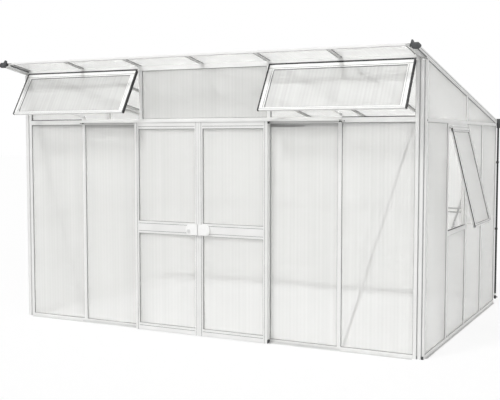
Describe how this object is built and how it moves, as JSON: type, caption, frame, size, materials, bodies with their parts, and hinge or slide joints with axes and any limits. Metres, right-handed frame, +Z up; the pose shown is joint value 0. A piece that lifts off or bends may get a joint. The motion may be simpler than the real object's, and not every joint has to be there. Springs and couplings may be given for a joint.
{
  "type": "greenhouse",
  "caption": "Garden greenhouse with a monopitch roof, fluted clear panes in aluminium bars, double sliding door, top-hung vents and a rear gutter.",
  "frame": {"origin": "on the ground, at the centre of the rectangle of the four anchor holes", "axes": "+X to the right seen from the front, the front faces -Y, +Z up"},
  "size_m": [4.1327, 3.0465, 2.4074],
  "materials": {
    "aluminium": "satin, near white",
    "twin_wall": "translucent twin-wall sheet with upright flutes",
    "seal": "matt black",
    "dark_plastic": "matt dark grey",
    "pale_plastic": "satin white",
    "bolt_steel": "dark zinc"
  },
  "bodies": {
    "frame": {"base_sill_front": "aluminium", "base_sill_rear": "aluminium", "base_sills_side": "aluminium", "corner_posts_front": "aluminium", "corner_posts_rear": "aluminium", "front_bars": "aluminium", "front_beam": "aluminium", "front_top_beam": "aluminium", "side_bars": "aluminium", "side_beams": "aluminium", "rear_bars": "aluminium", "rear_eave_beam": "aluminium", "wall_mid_rails": "aluminium", "roof_bars": "aluminium", "barge_bars": "aluminium", "roof_edges": "aluminium", "barge_caps": "dark_plastic", "rear_gutter": "aluminium", "gutter_end_caps": "dark_plastic", "downpipe": "dark_plastic", "downpipe_clips": "pale_plastic", "downpipe_spout": "dark_plastic", "front_panes": "twin_wall", "clerestory_pane": "twin_wall", "side_panes": "twin_wall", "rear_panes": "twin_wall", "roof_panes": "twin_wall", "wall_braces": "aluminium", "frame_bolts": "bolt_steel", "door_top_track": "aluminium", "door_bottom_track": "aluminium", "track_stops": "dark_plastic", "window_hinge_rails": "aluminium", "stay_pegs": "bolt_steel", "side_window_surround": "aluminium"},
    "door_left": {"door_left_frame": "aluminium", "door_left_panes": "twin_wall", "door_left_fittings": "dark_plastic", "door_left_handle": "pale_plastic"},
    "roller_left_inner": {"door_left_roller_inner": "dark_plastic"},
    "roller_left_outer": {"door_left_roller_outer": "dark_plastic"},
    "door_right": {"door_right_frame": "aluminium", "door_right_panes": "twin_wall", "door_right_fittings": "dark_plastic", "door_right_handle": "pale_plastic"},
    "roller_right_inner": {"door_right_roller_inner": "dark_plastic"},
    "roller_right_outer": {"door_right_roller_outer": "dark_plastic"},
    "lock_knob": {"door_lock_knob": "pale_plastic"},
    "window_left": {"window_left_frame": "aluminium", "window_left_pane": "twin_wall", "window_left_seal": "seal"},
    "stay_left": {"window_left_stay": "aluminium"},
    "window_right": {"window_right_frame": "aluminium", "window_right_pane": "twin_wall", "window_right_seal": "seal"},
    "stay_right": {"window_right_stay": "aluminium"},
    "window_side": {"window_side_frame": "aluminium", "window_side_pane": "twin_wall", "window_side_seal": "seal"},
    "stay_side": {"window_side_stay": "aluminium"}
  },
  "joints": [
    {"name": "door_left_slide", "type": "slide", "parent": "frame", "child": "door_left", "axis": [-1, 0, 0], "range_m": [0, 0.6]},
    {"name": "roller_left_inner_roll", "type": "hinge", "parent": "door_left", "child": "roller_left_inner", "pos_m": [-0.019, -1.3521, 1.8313], "axis": [0, -1, 0], "range_deg": [0, 2865]},
    {"name": "roller_left_outer_roll", "type": "hinge", "parent": "door_left", "child": "roller_left_outer", "pos_m": [-0.627, -1.3521, 1.8313], "axis": [0, -1, 0], "range_deg": [0, 2865]},
    {"name": "door_right_slide", "type": "slide", "parent": "frame", "child": "door_right", "axis": [1, 0, 0], "range_m": [0, 0.6]},
    {"name": "roller_right_inner_roll", "type": "hinge", "parent": "door_right", "child": "roller_right_inner", "pos_m": [0.019, -1.3521, 1.8313], "axis": [0, 1, 0], "range_deg": [0, 2865]},
    {"name": "roller_right_outer_roll", "type": "hinge", "parent": "door_right", "child": "roller_right_outer", "pos_m": [0.627, -1.3521, 1.8313], "axis": [0, 1, 0], "range_deg": [0, 2865]},
    {"name": "lock_knob_turn", "type": "hinge", "parent": "door_left", "child": "lock_knob", "pos_m": [-0.086, -1.435, 0.908], "axis": [0, -1, 0], "range_deg": [0, 90]},
    {"name": "window_left_hinge", "type": "hinge", "parent": "frame", "child": "window_left", "pos_m": [-1.2485, -1.35, 2.294], "axis": [-1, 0, 0], "range_deg": [-31, 0]},
    {"name": "stay_left_pivot", "type": "hinge", "parent": "window_left", "child": "stay_left", "pos_m": [-1.2485, -1.55474, 1.92704], "axis": [-1, 0, 0], "range_deg": [0, 19.68]},
    {"name": "window_right_hinge", "type": "hinge", "parent": "frame", "child": "window_right", "pos_m": [1.2485, -1.35, 2.294], "axis": [-1, 0, 0], "range_deg": [-31, 0]},
    {"name": "stay_right_pivot", "type": "hinge", "parent": "window_right", "child": "stay_right", "pos_m": [1.2485, -1.55474, 1.92704], "axis": [-1, 0, 0], "range_deg": [0, 19.68]},
    {"name": "window_side_hinge", "type": "hinge", "parent": "frame", "child": "window_side", "pos_m": [1.944, -0.327, 1.795], "axis": [0, -1, 0], "range_deg": [-14, 0]},
    {"name": "stay_side_pivot", "type": "hinge", "parent": "window_side", "child": "stay_side", "pos_m": [2.1317, -0.327, 0.98639], "axis": [0, -1, 0], "range_deg": [0, 3.1]}
  ],
  "couplings": [
    {"joint": "roller_left_inner_roll", "follows": "door_left_slide", "rad_per_m": 83.333},
    {"joint": "roller_left_outer_roll", "follows": "door_left_slide", "rad_per_m": 83.333},
    {"joint": "roller_right_inner_roll", "follows": "door_right_slide", "rad_per_m": 83.333},
    {"joint": "roller_right_outer_roll", "follows": "door_right_slide", "rad_per_m": 83.333},
    {"joint": "stay_left_pivot", "follows": "window_left_hinge", "ratio": -0.6345},
    {"joint": "stay_right_pivot", "follows": "window_right_hinge", "ratio": -0.6345},
    {"joint": "stay_side_pivot", "follows": "window_side_hinge", "ratio": -0.22061}
  ]
}
